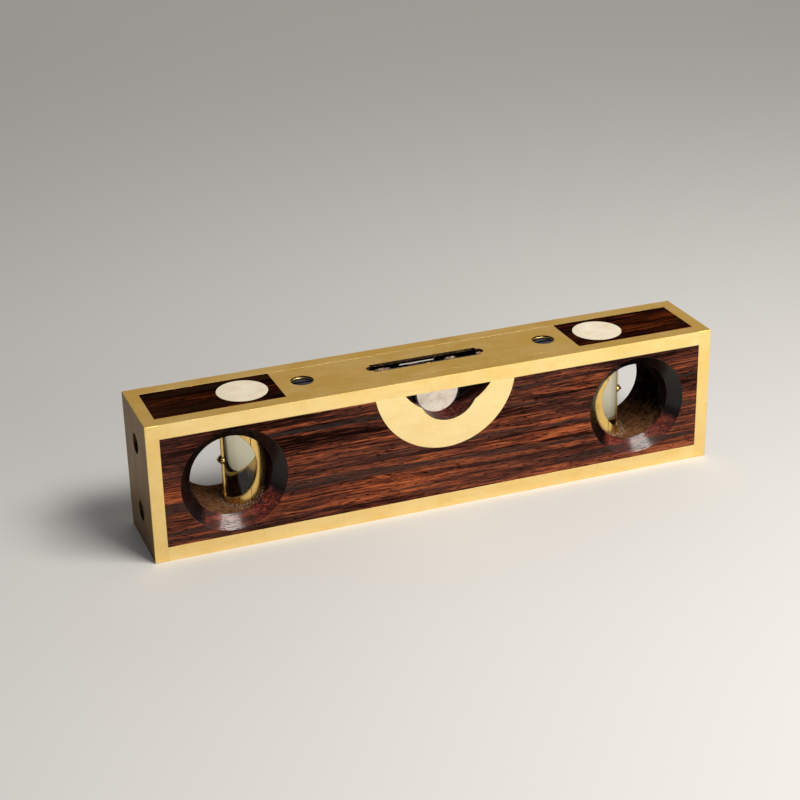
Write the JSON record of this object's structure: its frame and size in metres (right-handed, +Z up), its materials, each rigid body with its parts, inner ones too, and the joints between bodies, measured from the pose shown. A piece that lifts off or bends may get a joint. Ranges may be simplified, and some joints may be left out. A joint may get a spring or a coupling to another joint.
{
  "type": "spirit level",
  "caption": "Small brass-bound rosewood spirit level with a level vial under a slotted top plate and plumb vials standing in round portholes.",
  "frame": {"origin": "centre of the sole: the middle of the bounding box in X and Y, at its lowest Z", "axes": "+X along the level, -Y out of the front face, +Z up through the top plate"},
  "size_m": [0.165, 0.0254, 0.0397],
  "materials": {
    "rosewood": "polished oil",
    "strip_brass": "satin, fine scratches along its length",
    "plate_brass": "satin, fine scratches",
    "case_brass": "bright drawn tube",
    "blued_steel": "dark, worn",
    "bone": "polished bone",
    "plaster": "matt plaster",
    "vial_glass": "clear old glass",
    "spirit": "clear faintly straw-coloured liquid",
    "bubble_air": "air"
  },
  "bodies": {
    "level": {"stock": "rosewood", "top_front_binding": "strip_brass", "top_rear_binding": "strip_brass", "bottom_front_binding": "strip_brass", "bottom_rear_binding": "strip_brass", "front_half_moon": "plate_brass", "rear_half_moon": "plate_brass", "top_plate": "plate_brass", "plate_screws": "blued_steel", "plaster_bed": "plaster", "main_vial_glass": "vial_glass", "main_vial_ends": "vial_glass", "main_vial_spirit": "spirit", "left_end_plate": "plate_brass", "left_end_screws": "blued_steel", "left_plumb_case": "case_brass", "left_plumb_glass": "vial_glass", "left_plumb_seals": "plaster", "left_plumb_spirit": "spirit", "left_bone_plug": "bone", "right_end_plate": "plate_brass", "right_end_screws": "blued_steel", "right_plumb_case": "case_brass", "right_plumb_glass": "vial_glass", "right_plumb_seals": "plaster", "right_plumb_spirit": "spirit", "right_bone_plug": "bone"},
    "main_bubble": {"main_vial_bubble": "bubble_air"},
    "left_bubble": {"left_plumb_bubble": "bubble_air"},
    "right_bubble": {"right_plumb_bubble": "bubble_air"}
  },
  "joints": [
    {"name": "main_bubble_slide", "type": "slide", "parent": "level", "child": "main_bubble", "axis": [1, 0, 0], "range_m": [-0.009, 0.009], "stiffness_N_per_m": 0.3},
    {"name": "left_bubble_slide", "type": "slide", "parent": "level", "child": "left_bubble", "axis": [0, 0, 1], "range_m": [-0.0226, 0], "stiffness_N_per_m": 0.3, "springref_m": 0.02},
    {"name": "right_bubble_slide", "type": "slide", "parent": "level", "child": "right_bubble", "axis": [0, 0, 1], "range_m": [-0.0226, 0], "stiffness_N_per_m": 0.3, "springref_m": 0.02}
  ]
}
